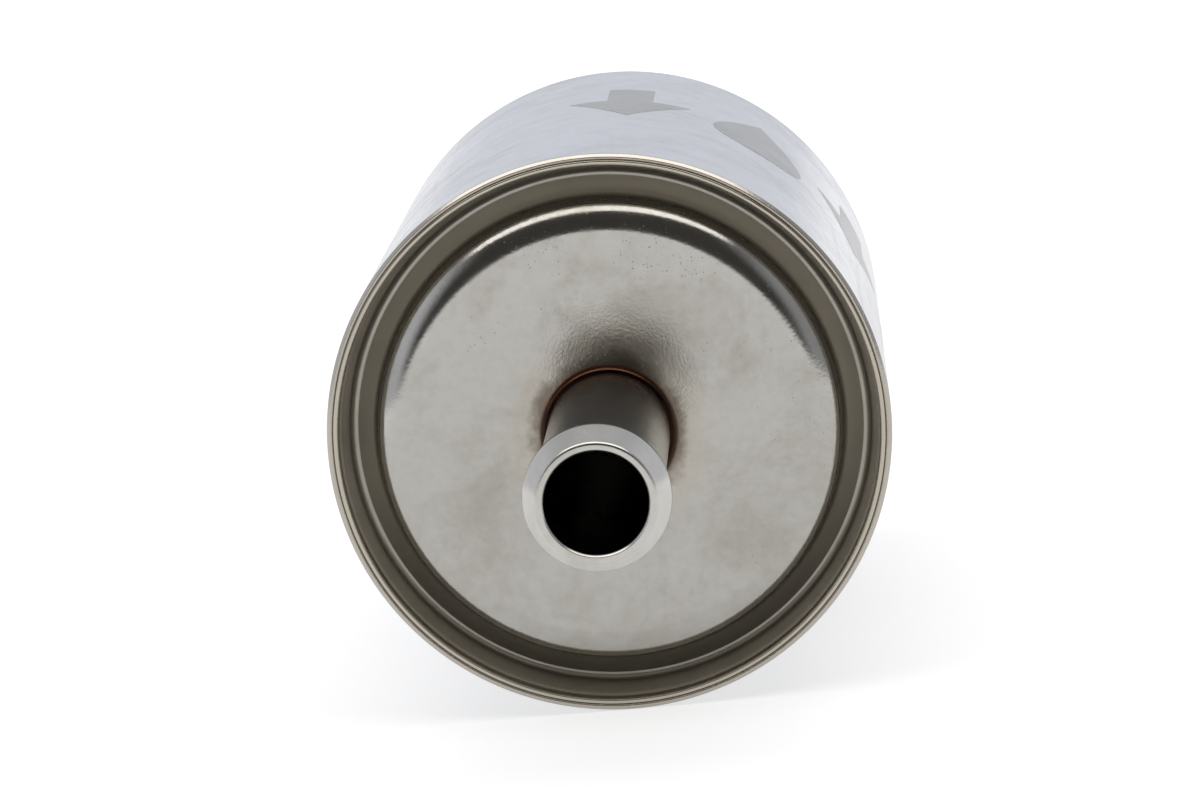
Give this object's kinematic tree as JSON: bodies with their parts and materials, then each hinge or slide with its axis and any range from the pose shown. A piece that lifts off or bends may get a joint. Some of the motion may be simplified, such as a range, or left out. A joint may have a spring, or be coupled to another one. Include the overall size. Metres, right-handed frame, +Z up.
{
  "type": "inline fuel filter",
  "caption": "Round metal can fuel filter lying on its side, with a beaded hose nipple at each end, a stepped end cover and a sprung pleated paper cartridge inside.",
  "frame": {"origin": "on the can's axis, halfway between the rim plane and the far end's raised middle", "axes": "+Y along the can's axis towards the inlet nipple, +Z up with the can lying on its side, the cover and outlet face -Y"},
  "size_m": [0.037, 0.096, 0.037],
  "materials": {
    "can_steel": "plated drawn steel, fine scratches",
    "cover_steel": "plated pressed steel, heat tint at the hole and rim",
    "tube_steel": "plated steel tube",
    "braze": "furnace copper braze",
    "sealant": "cured sealing compound",
    "pressed_steel": "zinc plated",
    "spring_steel": "bright drawn wire and strip",
    "seal_rubber": "moulded nitrile rubber",
    "potting": "cured adhesive",
    "filter_paper": "resin-treated paper",
    "strainer_mesh": "fine woven wire"
  },
  "bodies": {
    "housing": {"can_shell": "can_steel", "outlet_cover": "cover_steel", "rim_sealant_ring": "sealant", "outlet_nipple": "tube_steel", "outlet_braze_ring": "braze", "inlet_nipple": "tube_steel", "inlet_braze_ring": "braze", "support_plate": "pressed_steel", "pressure_spring": "spring_steel"},
    "cartridge": {"outlet_seal": "seal_rubber", "outlet_end_cap": "pressed_steel", "outlet_potting": "potting", "filter_media": "filter_paper", "pleat_seam_clip": "pressed_steel", "centre_tube": "pressed_steel", "strainer_sleeve": "strainer_mesh", "inlet_potting": "potting", "inlet_end_cap": "pressed_steel", "centring_spider": "spring_steel", "spring_seat": "pressed_steel"}
  },
  "joints": [
    {"name": "cartridge_slide", "type": "slide", "parent": "housing", "child": "cartridge", "axis": [0, 1, 0], "range_m": [0, 0.0015], "stiffness_N_per_m": 1500, "springref_m": -0.004, "deforming": ["pressure_spring"]}
  ]
}
